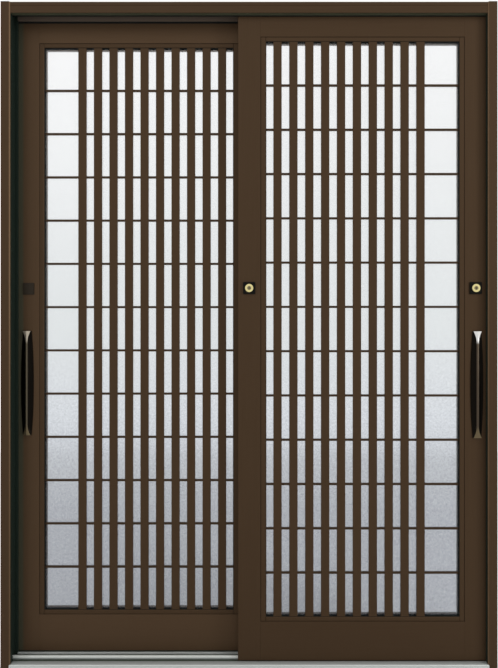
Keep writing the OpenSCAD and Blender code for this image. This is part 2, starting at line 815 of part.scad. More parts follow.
// Flush finger pull let into the room side of the stile
module inside_pull(side) {
    color(dark) on_leaf(side) translate([pull_x, 0, handle_z]) difference() {
        union() {
            along_y(leaf_t - pull_d - pull_wall, leaf_t) pull_outline(0);
            along_y(leaf_t, leaf_t + pull_rim_t) pull_outline(pull_rim);
        }
        along_y(leaf_t - pull_d, leaf_t + pull_rim_t + 1) pull_outline(-pull_wall);
    }
}

// Locks

module lock_places() {
    for (x = [0, lock_x]) translate([x, 0, lock_z]) children();
}

// Square escutcheon plates round the two outside cylinders
module lock_escutcheons() {
    color(dark) on_leaf(1) lock_places() difference() {
        union() {
            along_y(-plate_t + 1, 0) rounded_area(plate_w, plate_w, 3);
            along_y(-plate_t, -plate_t + 1) rounded_area(plate_w - 2, plate_w - 2, 2);
        }
        along_y(-plate_t - 1, 1) circle(d = cylinder_d + play);
    }
}

module lock_cylinders() {
    color(brass) on_leaf(1) lock_places() difference() {
        along_y(-cylinder_out, cylinder_in) circle(d = cylinder_d);
        along_y(-cylinder_out - 1, cylinder_in + 1) circle(r = plug_d / 2 + bore_play);
    }
}

// Key plug with an upright keyway
module key_plug() {
    keyway_w = 2;
    keyway_h = 8;
    keyway_d = 16;
    proud = 0.6;
    color(brass) difference() {
        along_y(-cylinder_out - proud, cylinder_in - 1) circle(d = plug_d);
        along_y(-cylinder_out - 1, keyway_d - cylinder_out)
            area(-keyway_w / 2, -keyway_h / 2, keyway_w / 2, keyway_h / 2);
    }
}

module jamb_key_plug() {
    on_leaf(1) translate([lock_x, 0, lock_z]) key_plug();
}

module meeting_key_plug() {
    on_leaf(1) translate([0, 0, lock_z]) key_plug();
}

// Plain cover where the inner leaf has no outside cylinder
module inner_lock_cover() {
    cover_t = 3;
    color(dark) on_leaf(-1) translate([lock_x, 0, lock_z]) {
        along_y(-cover_t + 1, 0) rounded_area(plate_w - 2, plate_w, 3);
        along_y(-cover_t, -cover_t + 1) rounded_area(plate_w - 4, plate_w - 2, 2);
    }
}

// Open-sided case behind the stile's edge, with the hook bolt's pivot pin across it
module lock_case(side) {
    y0 = track_y - case_t / 2;
    y1 = track_y + case_t / 2;
    x0 = lock_x - cylinder_d / 2 - 4;
    x1 = leaf_x1 - leaf_wall;
    z0 = hook_z - hook_hub - 8;
    z1 = hook_z + hook_sweep + 6;
    color(steel) on_leaf(side) {
        difference() {
            block([x0, y0, z0], [x1, y1, z1]);
            block([x0 + case_wall, y0 + case_wall, z0 + case_wall], [x1 + 1, y1 - case_wall, z1 - case_wall]);
            cylinder_hole(lock_x, y0 - 1, y0 + case_wall + 1, cylinder_d + 2 * play);
            cylinder_hole(lock_x, y1 - case_wall - 1, y1 + 1, 2 * spindle_r + 2);
        }
        translate([hook_x, 0, hook_z]) along_y(y0, y1) circle(hook_pin);
    }
}

// Hook bolt drawn thrown, along +x from its pivot, with its catch pointing down
module hook_outline() {
    difference() {
        union() {
            circle(hook_hub);
            area(0, -hook_arm / 2, hook_reach, hook_arm / 2);
            area(hook_catch_x, -hook_arm / 2 - hook_catch, hook_reach, 0);
        }
        circle(hook_pin + bore_play);
    }
}

// At rest the hook bolt stands upright inside its case
module hook_bolt(side) {
    color(steel) on_leaf(side) translate([hook_x, 0, hook_z])
        along_y(track_y - hook_t / 2, track_y + hook_t / 2) rotate(90) hook_outline();
}

module rose() {
    difference() {
        along_y(leaf_t, leaf_t + rose_t) rounded_area(plate_w, plate_w, 3);
        along_y(leaf_t - 1, leaf_t + rose_t + 1) circle(spindle_r + bore_play);
    }
}

module thumb_rose(side) {
    color(dark) on_leaf(side) {
        translate([lock_x, 0, lock_z]) rose();
        if (side < 0) translate([0, 0, lock_z]) rose();
    }
}

// Turn with its spindle, its grip upright at rest
module turn(end_y, cam_y) {
    base_y = leaf_t + rose_t + play;
    base_t = 4;
    grip_t = 8;
    grip_out = 12;
    cam_t = 3;
    along_y(end_y, base_y + 1) circle(spindle_r);
    along_y(cam_y, cam_y + cam_t) circle(cam_r);
    along_y(base_y, base_y + base_t) circle(d = turn_w - 6);
    along_y(base_y + base_t, base_y + base_t + grip_out) rounded_area(grip_t, turn_w, grip_t / 2 - 0.5);
}

module thumb_turn(side) {
    color(silver) on_leaf(side) translate([lock_x, 0, lock_z]) turn(spindle_in, spindle_in + 3);
}

module meeting_turn() {
    case_end = leaf_t - leaf_wall - 2;
    color(silver) on_leaf(-1) translate([0, 0, lock_z]) turn(case_end - 3.5, case_end - 3.5);
}

// Case that guides the meeting bolt behind the front wall of the inner leaf's meeting stile
module meeting_case() {
    x = bolt_w / 2 + play;
    z = bolt_h / 2 + play;
    y0 = leaf_wall;
    y1 = leaf_t - leaf_wall - 2;
    t = 4;
    color(steel) on_leaf(-1) translate([0, 0, lock_z]) difference() {
        block([-x - 3 * t, y0, -z - t], [x + 3 * t, y1, z + t]);
        block([-x, y0 - 1, -z], [x, y1 - 4, z]);
        along_y(y1 - 4.5, y1 + 1) circle(cam_r + 1);
    }
}

module meeting_bolt() {
    color(steel) on_leaf(-1)
        block([-bolt_w / 2, bolt_rest, lock_z - bolt_h / 2],
              [bolt_w / 2, bolt_rest + bolt_l, lock_z + bolt_h / 2]);
}

// Plate on the room side of the outer leaf's meeting stile
module meeting_strike() {
    t = 1.5;
    rim = 8;
    color(steel) on_leaf(1) translate([0, 0, lock_z]) along_y(leaf_t, leaf_t + t) difference() {
        rounded_area(bolt_w + 2 * rim, bolt_h + 4 * rim, 2);
        area(-bolt_w / 2 - 1, -bolt_h / 2 - 1, bolt_w / 2 + 1, bolt_h / 2 + 1);
    }
}

// Rollers, guides and seals

// Steel channel under the bottom rail's web, with a riveted axle
module roller_brackets(side) {
    half = roller_w / 2 + bracket_gap + bracket_t;
    low = bottom_of(side);
    top = low + pocket_h;
    color(steel) on_leaf(side) for (i = [1, 2]) translate([roller_x(i), 0, 0]) {
        difference() {
            block([-bracket_l / 2, track_y - half, low + axle_z - axle_d],
                  [bracket_l / 2, track_y + half, top]);
            block([-bracket_l / 2 - 1, track_y - half + bracket_t, low + axle_z - axle_d - 1],
                  [bracket_l / 2 + 1, track_y + half - bracket_t, top - bracket_t]);
        }
        translate([0, 0, low + axle_z]) along_y(track_y - half, track_y + half) circle(d = axle_d);
    }
}

// Grooved roller that runs on the rail cap
module roller(side, i) {
    half = roller_w / 2;
    cap_half = rail_w / 2 + cap_wall + 1;
    flange_r = tread_r + flange_h;
    color(dark) on_leaf(side) translate([roller_x(i), track_y, bottom_of(side) + axle_z]) rotate([90, 0, 0])
        rotate_extrude() polygon([
            [axle_d / 2 + bore_play, -half], [flange_r, -half], [flange_r, -cap_half - 0.5],
            [tread_r, -cap_half], [tread_r, cap_half], [flange_r, cap_half + 0.5], [flange_r, half],
            [axle_d / 2 + bore_play, half]
        ]);
}

// Plastic guides plugged into the stiles' tops
module top_guides(side) {
    half = channel_w / 2 - 0.7;
    tall = 6;
    plug = 5;
    inset = leaf_wall + 0.2;
    color(dark) on_leaf(side) for (x = [leaf_x0, stile_x1]) {
        block([x, track_y - half, leaf_top], [x + stile_w, track_y + half, leaf_top + tall]);
        block([x + inset, inset, leaf_top - plug], [x + stile_w - inset, leaf_t - inset, leaf_top]);
    }
}

// Seal from each meeting stile across to the other leaf: the outer leaf's on its room side
module meeting_seal(side) {
    thick = 3;
    foot = 8;
    foot_t = 1.5;
    edge = 2;
    reach = leaf_gap - play;
    low = inner_bottom + 18;
    high = head_z - 14;
    x = leaf_x0 + edge;
    color(dark) on_leaf(side) translate([0, 0, low]) linear_extrude(high - low) {
        if (side > 0) {
            area(x, leaf_t, x + foot, leaf_t + foot_t);
            area(x, leaf_t, x + thick, leaf_t + reach);
        }
        else {
            area(x, -foot_t, x + foot, 0);
            area(x, -reach, x + thick, 0);
        }
    }
}

module leaf_screws(side) {
    color(steel) on_leaf(side) for (z = concat(bottom_ports(side), top_ports())) {
        screw(stile_x1 + leaf_wall, track_y, z, -1);
        screw(stile_x0 - leaf_wall, track_y, z, 1);
    }
}

left_jamb();
right_jamb();
head();
sill();
rail_caps();
frame_screws();
frame_seals();
jamb_strikes();
door_stops();
for (leaf = LEAVES) {
    jamb_stile(leaf[1]);
    meeting_stile(leaf[1]);
    top_rail(leaf[1]);
    bottom_rail(leaf[1]);
    beads(leaf[1]);
    glass(leaf[1]);
    gasket(leaf[1]);
    slats(leaf[1]);
    bars(leaf[1]);
    handle(leaf[1]);
    inside_pull(leaf[1]);
    roller_brackets(leaf[1]);
    roller(leaf[1], 1);
    roller(leaf[1], 2);
    top_guides(leaf[1]);
    meeting_seal(leaf[1]);
    leaf_screws(leaf[1]);
    lock_case(leaf[1]);
    hook_bolt(leaf[1]);
    thumb_rose(leaf[1]);
    thumb_turn(leaf[1]);
}
lock_escutcheons();
lock_cylinders();
jamb_key_plug();
meeting_key_plug();
meeting_strike();
inner_lock_cover();
meeting_case();
meeting_bolt();
meeting_turn();
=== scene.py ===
"""Looks of a two-leaf sliding entrance door: finishes, small screws, studio and camera, in metres."""

import math

import bmesh
import bpy
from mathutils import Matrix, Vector


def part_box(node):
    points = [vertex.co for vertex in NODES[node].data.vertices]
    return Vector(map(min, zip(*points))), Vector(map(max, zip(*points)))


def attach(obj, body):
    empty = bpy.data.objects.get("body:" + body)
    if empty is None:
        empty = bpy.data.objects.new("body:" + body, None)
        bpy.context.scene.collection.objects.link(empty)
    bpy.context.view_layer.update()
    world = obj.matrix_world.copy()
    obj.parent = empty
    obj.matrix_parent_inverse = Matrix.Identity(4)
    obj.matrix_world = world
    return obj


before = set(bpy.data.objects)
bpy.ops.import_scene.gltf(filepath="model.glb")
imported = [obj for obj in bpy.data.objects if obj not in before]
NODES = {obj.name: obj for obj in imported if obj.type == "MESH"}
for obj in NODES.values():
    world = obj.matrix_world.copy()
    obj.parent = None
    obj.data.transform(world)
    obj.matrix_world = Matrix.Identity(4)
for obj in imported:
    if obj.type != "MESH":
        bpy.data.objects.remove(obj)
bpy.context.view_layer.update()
SIDES = ("outer", "inner")


def corner_box(node):
    """A node's low corner, high corner and middle."""
    low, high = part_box(node)
    return low, high, (low + high) / 2


FRAME_FRONT = corner_box("left_jamb")[0].y
STREET_SIDE = (0, -1, 0)
ROOM_SIDE = (0, 1, 0)

# The photograph's size and vanishing point in pixels, and where its camera stands
IMAGE_W = 498
IMAGE_H = 668
FOCAL_PX = 561.1
HORIZON_PX = 316.7
CENTRE_PX = 267.2
CAMERA_BACK = 1.852
CAMERA_X = 0.06
CAMERA_Z = 1.1884
SENSOR_MM = 36.0

# Colours of the frame and the leaves, linear
BROWN = (0.0500, 0.0296, 0.0155)
BROWN_LIGHT = (0.0567, 0.0344, 0.0189)
# Painted light: a lighter copy of the bronze for the inner leaf's jamb stile and rails, lifting the shade
# that the head and the jamb cast on that deeper-set leaf
SHADE_LIFTED_BROWN = (0.0665, 0.0400, 0.0218)
SHADE_LIFTED_BROWN_LIGHT = (0.0725, 0.0445, 0.0248)
# Painted shade: a greenish shade tone down the inner leaf's edge beside the jamb
JAMB_SHADE_STRIP = (0.044, 0.042, 0.027)
BEAD_SHADE = (0.006, 0.004, 0.003)
# Painted light on the head's lip between its channels
LIT_LIP = (0.110, 0.084, 0.066)
# Painted shade: a greenish shade tone inside the head's channels
CHANNEL_SHADE = (0.060, 0.062, 0.039)
# Painted shade, nearly black, inside the jambs' channels
RECESS_SHADE = (0.0135, 0.0205, 0.0160)
# Painted highlight along the jambs' front inner edges
EDGE_HIGHLIGHT = (0.111, 0.0685, 0.038)
# Painted shade: a darker copy of the bronze for the bars behind the slats
SHADED_BAR = (0.037, 0.0215, 0.0108)
SHADED_BAR_LIGHT = (0.043, 0.0255, 0.0135)
COVER = (0.021, 0.0155, 0.0095)
COVER_LIGHT = (0.026, 0.0190, 0.0120)
SILVER = (0.53, 0.56, 0.54)
SILVER_LIGHT = (0.575, 0.605, 0.58)
# Painted shade across the sill, as multipliers of its silver: the front ledge darker than the front lip and
# the back
SILL_FRONT = (0.90, 0.90, 0.90)
SHADED_SILL_LEDGE = (0.65, 0.65, 0.65)
SILL_BACK = (0.96, 0.96, 0.96)
# Painted shade in the grooves beside the rails
GROOVE_SHADE = (0.075, 0.090, 0.070)
CAP = (0.70, 0.73, 0.69)
CAP_LIGHT = (0.76, 0.79, 0.75)
# Painted light through the glass: pale above and greyer towards the floor
LIT_GLASS_TOP = (0.960, 0.966, 0.971)
LIT_GLASS_UPPER = (0.786, 0.819, 0.829)
LIT_GLASS_MIDDLE = (0.790, 0.822, 0.858)
LIT_GLASS_LOW = (0.606, 0.632, 0.683)
MOTTLE = (0.72, 0.725, 0.745)
WHITE = (1.0, 1.0, 1.0)
RUBBER = (0.004, 0.005, 0.0045)
RUBBER_LIGHT = (0.010, 0.011, 0.010)

# Colours of the fittings and the floor, linear
STEEL = (0.50, 0.50, 0.48)
STEEL_LIGHT = (0.62, 0.62, 0.60)
PLASTIC = (0.030, 0.030, 0.030)
PLASTIC_LIGHT = (0.045, 0.045, 0.043)
PLATE = (0.004, 0.004, 0.0035)
PLATE_LIGHT = (0.008, 0.0075, 0.0065)
BRASS = (0.60, 0.51, 0.21)
BRASS_LIGHT = (0.74, 0.66, 0.34)
PLUG = (0.15, 0.125, 0.07)
PLUG_LIGHT = (0.22, 0.19, 0.11)
# Painted light on the dark bronze handles: painted shade on the flanks, lit tones on the lower flares and on
# the ridges, different on each handle, and painted highlights on the upper flares
FLANK_SHADE = (0.0065, 0.0052, 0.004)
LIT_LOW_FLARE = (0.13, 0.10, 0.058)
LIT_HANDLE_RIDGES = {"outer": (0.066, 0.050, 0.036), "inner": (0.105, 0.088, 0.060)}
HANDLE_TOP_HIGHLIGHTS = {"outer": (0.66, 0.65, 0.63), "inner": (0.42, 0.37, 0.29)}
STAGE = (0.80, 0.80, 0.79)

# Grain of the finishes, in cycles per metre along X, Y and Z
UPRIGHT = (700, 700, 5)
LEVEL = (5, 700, 700)
HANDLE_GRAIN = (900, 900, 30)
TURN_GRAIN = (60, 900, 900)
BEAD_GRAIN = (600, 600, 600)
MOULDED_GRAIN = (900, 900, 900)
PLATE_GRAIN = (1200, 1200, 1200)
BRASS_GRAIN = (1400, 1400, 1400)
RUBBER_GRAIN = (1500, 1500, 1500)
GLASS_GRAIN = (150, 150, 150)
STAGE_GRAIN = (3, 3, 3)
GRAIN_DARK = 0.25
GRAIN_PALE = 0.75
GRAIN_DEEP = 0.0004

# Where the painted shade and painted light on the frame lie: spans run backwards from the frame's front face
SOFT = 0.002
SHARP = 0.001
CHANNEL_SPAN = (0.005, 0.111)
LIP_SPAN = (0.025, 0.071)
HEAD_ROOF = 0.008
JAMB_WALL = 0.003
EDGE_WIDE = 0.0035
EDGE_DEEP = 0.006

# The sill's painted shade: tones behind its front face, and its shaded grooves as a span and a drop below
# its top
SILL_SHADING = ((0.0074, SILL_FRONT), (0.011, SHADED_SILL_LEDGE), (0.0448, SHADED_SILL_LEDGE), (0.0458, SILL_BACK))
SHADED_GROOVES = (((0.022, 0.045), 0.015), ((0.044, 0.105), 0.0108))

# Where the painted shade on the leaves lies, from the outer edge of a stile or the face of a bead
STRIP_WIDE = 0.026
STRIP_SOFT = 0.008
STRIP_DEEP = 0.002
BEAD_FACE = 0.0012
BEAD_SOFT = 0.0007

# Height above the leaf's face past which a handle's outward surface is its ridge, and what counts as outward
RIDGE_OUT = 0.0078
OUTWARD = (0.75, 0.85)

# Where a handle's flares and its ridge end, by share of its height
LOW_FLARE_END = 0.06
RIDGE_START = 0.11
RIDGE_END = 0.88
TOP_FLARE_START = 0.92
HANDLE_ROUGHNESS = (0.22, 0.36)

# The glass's painted light and the fading of its mottle, by share of its height
GLASS_PAINTED_LIGHT = ((0.18, LIT_GLASS_LOW), (0.35, LIT_GLASS_MIDDLE), (0.5, LIT_GLASS_UPPER), (1.0, LIT_GLASS_TOP))
MOTTLE_TONES = ((0.35, MOTTLE), (0.65, WHITE))
MOTTLE_FADE = (0.50, 0.30)
MOTTLE_LEAST = 0.15
GLASS_ROUGHNESS = (0.13, 0.22)

# Small screw heads and where they sit on the fittings
SCREW_R = 0.0026
SCREW_PROUD = 0.0006
SCREW_SIDES = 24
RIM_SHARE = 0.85
CROSS_ARM = 0.0015
CROSS_HALF = 0.00035
CROSS_DEEP = 0.0004
PULL_DEEP = 0.0125
PULL_SCREW_Z = 0.05
ROSE_SCREW = 0.0145
STRIKE_T = 0.0014
STRIKE_END = 0.009
MEETING_END = 0.007

# The floor's reach, and the strength of the surroundings as a light and as they are seen
FLOOR_REACH = 8.0
FLOOR_BACK = 3.0
WORLD_LIGHT = 0.90
WORLD_SEEN = 1.0


# Shader building blocks
def new_material(name):
    material = bpy.data.materials.new(name)
    material.use_nodes = True
    shader = material.node_tree.nodes["Principled BSDF"]
    return material, material.node_tree, shader


def object_axes(tree):
    place = tree.nodes.new("ShaderNodeTexCoord")
    axes = tree.nodes.new("ShaderNodeSeparateXYZ")
    tree.links.new(place.outputs["Object"], axes.inputs["Vector"])
    return axes.outputs


def object_noise(tree, scale, detail=3.0, roughness=0.5):
    """Noise in the object's own space; scale is a cycle count per metre along each axis."""
    place = tree.nodes.new("ShaderNodeTexCoord")
    stretch = tree.nodes.new("ShaderNodeMapping")
    stretch.inputs["Scale"].default_value = scale
    texture = tree.nodes.new("ShaderNodeTexNoise")
    texture.inputs["Scale"].default_value = 1.0
    texture.inputs["Detail"].default_value = detail
    texture.inputs["Roughness"].default_value = roughness
    tree.links.new(place.outputs["Object"], stretch.inputs["Vector"])
    tree.links.new(stretch.outputs["Vector"], texture.inputs["Vector"])
    return texture.outputs["Fac"]


def ramp(tree, value, stops):
    """Colour along a value; stops are (position, linear colour)."""
    node = tree.nodes.new("ShaderNodeValToRGB")
    marks = node.color_ramp.elements
    while len(marks) < len(stops):
        marks.new(0.5)
    for mark, (position, colour) in zip(marks, stops):
        mark.position = position
        mark.color = (*colour, 1.0)
    tree.links.new(value, node.inputs["Fac"])
    return node.outputs["Color"]


def spread(tree, value, low, high):
    """A value from 0 to 1 spread between low and high."""
    node = tree.nodes.new("ShaderNodeMapRange")
    node.inputs["To Min"].default_value = low
    node.inputs["To Max"].default_value = high
    tree.links.new(value, node.inputs["Value"])
    return node.outputs["Result"]


def rise(tree, value, start, end):
    """A step from 0 to 1 as the value passes from start to end, which may run downwards."""
    node = tree.nodes.new("ShaderNodeMapRange")
    node.inputs["From Min"].default_value = start
    node.inputs["From Max"].default_value = end
    tree.links.new(value, node.inputs["Value"])
    return node.outputs["Result"]


def below(tree, value, limit, soft):
    """A mask that is 0 at the limit and 1 from a soft edge below it."""
    return rise(tree, value, limit, limit - soft)


def maths(tree, operation, *values):
    node = tree.nodes.new("ShaderNodeMath")
    node.operation = operation
    for value, socket in zip(values, node.inputs):
        tree.links.new(value, socket)
    return node.outputs["Value"]


def product(tree, first, second):
    return maths(tree, "MULTIPLY", first, second)


def behind_front(tree, axes, span, soft):
    """A mask for a span that runs backwards from the frame's front face."""
    start, end = (FRAME_FRONT + reach for reach in span)
    return product(tree, rise(tree, axes["Y"], start, start + soft), below(tree, axes["Y"], end, soft))


def feed(tree, value, socket):
    """A socket's value: another socket, a linear colour or a number."""
    if isinstance(value, bpy.types.NodeSocket):
        tree.links.new(value, socket)
    elif isinstance(value, tuple):
        socket.default_value = (*value, 1.0)
    else:
        socket.default_value = value


def mixed(tree, way, first, second, share):
    """Two colours blended by a share of the second; each may be a socket or fixed."""
    node = tree.nodes.new("ShaderNodeMix")
    node.data_type = "RGBA"
    node.blend_type = way
    feed(tree, first, node.inputs["A"])
    feed(tree, second, node.inputs["B"])
    feed(tree, share, node.inputs["Factor"])
    return node.outputs["Result"]


def bump(tree, shader, height, strength, distance):
    node = tree.nodes.new("ShaderNodeBump")
    node.inputs["Strength"].default_value = strength
    node.inputs["Distance"].default_value = distance
    tree.links.new(height, node.inputs["Height"])
    tree.links.new(node.outputs["Normal"], shader.inputs["Normal"])


def blend_base(material, way, second, share):
    """The base colour that a material has so far, blended with another."""
    tree = material.node_tree
    base = tree.nodes["Principled BSDF"].inputs["Base Color"]
    tree.links.new(mixed(tree, way, base.links[0].from_socket, second, share), base)


def paint_light_and_shade(material, mask, colour):
    """Painted light and shade: another colour where the mask is 1."""
    blend_base(material, "MIX", colour, mask)


def dull(material, mask):
    """No metal sheen where the mask is 1."""
    tree = material.node_tree
    sheen = tree.nodes["Principled BSDF"].inputs["Metallic"]
    tree.links.new(spread(tree, mask, sheen.default_value, 0.0), sheen)


def grained(name, dark, light, scale, metallic, roughness, relief, specular=0.5):
    """A finish with two close tones, a grain and a roughness that follows the grain."""
    material, tree, shader = new_material(name)
    grain = object_noise(tree, scale)
    tones = ramp(tree, grain, [(GRAIN_DARK, dark), (GRAIN_PALE, light)])
    tree.links.new(tones, shader.inputs["Base Color"])
    tree.links.new(spread(tree, grain, *roughness), shader.inputs["Roughness"])
    shader.inputs["Metallic"].default_value = metallic
    shader.inputs["Specular IOR Level"].default_value = specular
    bump(tree, shader, grain, strength=relief, distance=GRAIN_DEEP)
    return material


# Finishes that change over a piece, with painted light and shade
def bronze(name, dark, light, scale):
    """Dark bronze coat on aluminium."""
    return grained(
        name, dark, light, scale, metallic=0.30, roughness=(0.34, 0.44), relief=0.05, specular=0.05)


def head_finish():
    """Bronze with a painted greenish shade tone and no sheen inside the head's channels, and painted light
    on the lip between them.
    """
    material = bronze("head_brown", BROWN, BROWN_LIGHT, LEVEL)
    tree = material.node_tree
    axes = object_axes(tree)
    under = below(tree, axes["Z"], corner_box("head")[1].z - HEAD_ROOF, SOFT)
    inside = product(tree, behind_front(tree, axes, CHANNEL_SPAN, SOFT), under)
    between = product(tree, behind_front(tree, axes, LIP_SPAN, SOFT), under)
    paint_light_and_shade(material, inside, CHANNEL_SHADE)
    paint_light_and_shade(material, between, LIT_LIP)
    dull(material, inside)
    return material


def jamb_finish():
    """Bronze with painted shade, nearly black, inside the jambs' channels, and a painted highlight along the
    edge at the front.
    """
    material = bronze("jamb_brown", BROWN, BROWN_LIGHT, UPRIGHT)
    tree = material.node_tree
    axes = object_axes(tree)
    low, high, _ = corner_box("right_jamb")
    sideways = maths(tree, "ABSOLUTE", axes["X"])
    within = below(tree, sideways, high.x - JAMB_WALL, SOFT)
    inside = product(tree, behind_front(tree, axes, CHANNEL_SPAN, SOFT), within)
    corner = below(tree, sideways, low.x + EDGE_WIDE, SHARP)
    edge = product(tree, corner, below(tree, axes["Y"], FRAME_FRONT + EDGE_DEEP, SHARP))
    paint_light_and_shade(material, inside, RECESS_SHADE)
    paint_light_and_shade(material, edge, EDGE_HIGHLIGHT)
    dull(material, inside)
    return material


def inner_stile_finish():
    """Bronze painted lighter to lift shade, with a painted greenish shade tone and no sheen in a strip down
    the outer edge of the inner leaf's face, beside the jamb.
    """
    material = bronze("inner_upright_lifted", SHADE_LIFTED_BROWN, SHADE_LIFTED_BROWN_LIGHT, UPRIGHT)
    tree = material.node_tree
    axes = object_axes(tree)
    low = corner_box("inner_jamb_stile")[0]
    beside = below(tree, axes["X"], low.x + STRIP_WIDE, STRIP_SOFT)
    strip = product(tree, beside, below(tree, axes["Y"], low.y + STRIP_DEEP, SHARP))
    paint_light_and_shade(material, strip, JAMB_SHADE_STRIP)
    dull(material, strip)
    return material


def bead_finish(side):
    """Bronze that is nearly black behind the front face of a leaf's glazing beads."""
    material = bronze(side + "_bead_brown", BROWN, BROWN_LIGHT, BEAD_GRAIN)
    tree = material.node_tree
    start = corner_box(side + "_beads")[0].y + BEAD_FACE
    deep = rise(tree, object_axes(tree)["Y"], start, start + BEAD_SOFT)
    paint_light_and_shade(material, deep, BEAD_SHADE)
    dull(material, deep)
    return material


def sill_finish():
    """Silver with painted shade: its front ledge darker than its lip and its back, and dark grooves."""
    material = grained(
        "sill_metal", SILVER, SILVER_LIGHT, LEVEL, metallic=0.3, roughness=(0.40, 0.52), relief=0.05)
    tree = material.node_tree
    axes = object_axes(tree)
    low, high, _ = corner_box("sill")
    across = rise(tree, axes["Y"], low.y, high.y)
    stops = [(reach / (high.y - low.y), tone) for reach, tone in SILL_SHADING]
    blend_base(material, "MULTIPLY", ramp(tree, across, stops), 1.0)
    for span, drop in SHADED_GROOVES:
        deep = below(tree, axes["Z"], high.z - drop, SHARP)
        paint_light_and_shade(material, product(tree, behind_front(tree, axes, span, SHARP), deep), GROOVE_SHADE)
    return material


def frosted_glass():
    """Figured glass with painted light that is pale above and greyer towards the floor, and a fine mottle.
    """
    material, tree, shader = new_material("frosted_glass")
    low, high, _ = corner_box("outer_glass")
    height = rise(tree, object_axes(tree)["Z"], low.z, high.z)
    mottle = object_noise(tree, GLASS_GRAIN, detail=4.0, roughness=0.65)
    figure = ramp(tree, mottle, MOTTLE_TONES)
    fade = spread(tree, rise(tree, height, *MOTTLE_FADE), MOTTLE_LEAST, 1.0)
    colour = mixed(tree, "MULTIPLY", ramp(tree, height, GLASS_PAINTED_LIGHT), figure, fade)
    tree.links.new(colour, shader.inputs["Base Color"])
    tree.links.new(spread(tree, mottle, *GLASS_ROUGHNESS), shader.inputs["Roughness"])
    shader.inputs["Specular IOR Level"].default_value = 0.35
    shader.inputs["Transmission Weight"].default_value = 0.93
    bump(tree, shader, mottle, strength=0.10, distance=0.0008)
    return material


def handle_finish(side):
    """Painted light on a dark bronze handle: painted shade on the black flanks, a bronze ridge lit
    differently on each handle where the surface stands out, and painted highlights on the flared ends.
    """
    material, tree, shader = new_material(side + "_handle_finish")
    low, high, _ = corner_box(side + "_handle")
    face_y = corner_box(side + "_jamb_stile")[0].y
    ridge = LIT_HANDLE_RIDGES[side]
    top = HANDLE_TOP_HIGHLIGHTS[side]
    axes = object_axes(tree)
    along = ramp(tree, rise(tree, axes["Z"], low.z, high.z), [
        (LOW_FLARE_END, LIT_LOW_FLARE), (RIDGE_START, ridge), (RIDGE_END, ridge), (TOP_FLARE_START, top)])
    surface = tree.nodes.new("ShaderNodeNewGeometry")
    facing = tree.nodes.new("ShaderNodeVectorMath")
    facing.operation = "DOT_PRODUCT"
    facing.inputs[1].default_value = STREET_SIDE
    tree.links.new(surface.outputs["Normal"], facing.inputs[0])
    outwards = rise(tree, facing.outputs["Value"], *OUTWARD)
    raised = below(tree, axes["Y"], face_y - RIDGE_OUT, SHARP)
    colour = mixed(tree, "MIX", FLANK_SHADE, along, product(tree, outwards, raised))
    tree.links.new(colour, shader.inputs["Base Color"])
    grain = object_noise(tree, HANDLE_GRAIN)
    tree.links.new(spread(tree, grain, *HANDLE_ROUGHNESS), shader.inputs["Roughness"])
    shader.inputs["Metallic"].default_value = 0.9
    shader.inputs["Specular IOR Level"].default_value = 0.05
    bump(tree, shader, grain, strength=0.05, distance=0.0002)
    return material


# Even finishes
brown_upright = bronze("brown_upright", BROWN, BROWN_LIGHT, UPRIGHT)
brown_level = bronze("brown_level", BROWN, BROWN_LIGHT, LEVEL)
# Painted light: the lighter copy of the bronze on the inner leaf's rails
inner_level_lifted = bronze("inner_level_lifted", SHADE_LIFTED_BROWN, SHADE_LIFTED_BROWN_LIGHT, LEVEL)
# Painted shade: the darker copy of the bronze on the bars behind the slats
shaded_bar_brown = grained(
    "shaded_bar_brown", SHADED_BAR, SHADED_BAR_LIGHT, LEVEL, metallic=0.5, roughness=(0.30, 0.42), relief=0.05, specular=0.2)
cover_brown = grained(
    "cover_brown", COVER, COVER_LIGHT, MOULDED_GRAIN,
    metallic=0.4, roughness=(0.34, 0.46), relief=0.06, specular=0.2)
rail_metal = grained(
    "rail_metal", CAP, CAP_LIGHT, LEVEL, metallic=0.2, roughness=(0.34, 0.46), relief=0.04)
stainless = grained(
    "stainless", STEEL, STEEL_LIGHT, LEVEL, metallic=1.0, roughness=(0.20, 0.34), relief=0.05)
turn_metal = grained(
    "turn_metal", STEEL, STEEL_LIGHT, TURN_GRAIN, metallic=1.0, roughness=(0.24, 0.34), relief=0.05)
rubber = grained(
    "rubber", RUBBER, RUBBER_LIGHT, RUBBER_GRAIN,
    metallic=0.0, roughness=(0.75, 0.92), relief=0.4, specular=0.1)
plastic = grained(
    "plastic", PLASTIC, PLASTIC_LIGHT, MOULDED_GRAIN, metallic=0.0, roughness=(0.42, 0.58), relief=0.1)
dark_plate = grained(
    "dark_plate", PLATE, PLATE_LIGHT, PLATE_GRAIN,
    metallic=0.0, roughness=(0.42, 0.54), relief=0.08, specular=0.04)
brass = grained(
    "brass", BRASS, BRASS_LIGHT, BRASS_GRAIN, metallic=1.0, roughness=(0.22, 0.34), relief=0.04)
plug_brass = grained(
    "plug_brass", PLUG, PLUG_LIGHT, BRASS_GRAIN, metallic=1.0, roughness=(0.28, 0.40), relief=0.04)


# What each node wears
def dress(material, *names):
    for name in names:
        NODES[name].data.materials.clear()
        NODES[name].data.materials.append(material)


def on_leaves(*names):
    return [f"{side}_{name}" for side in SIDES for name in names]


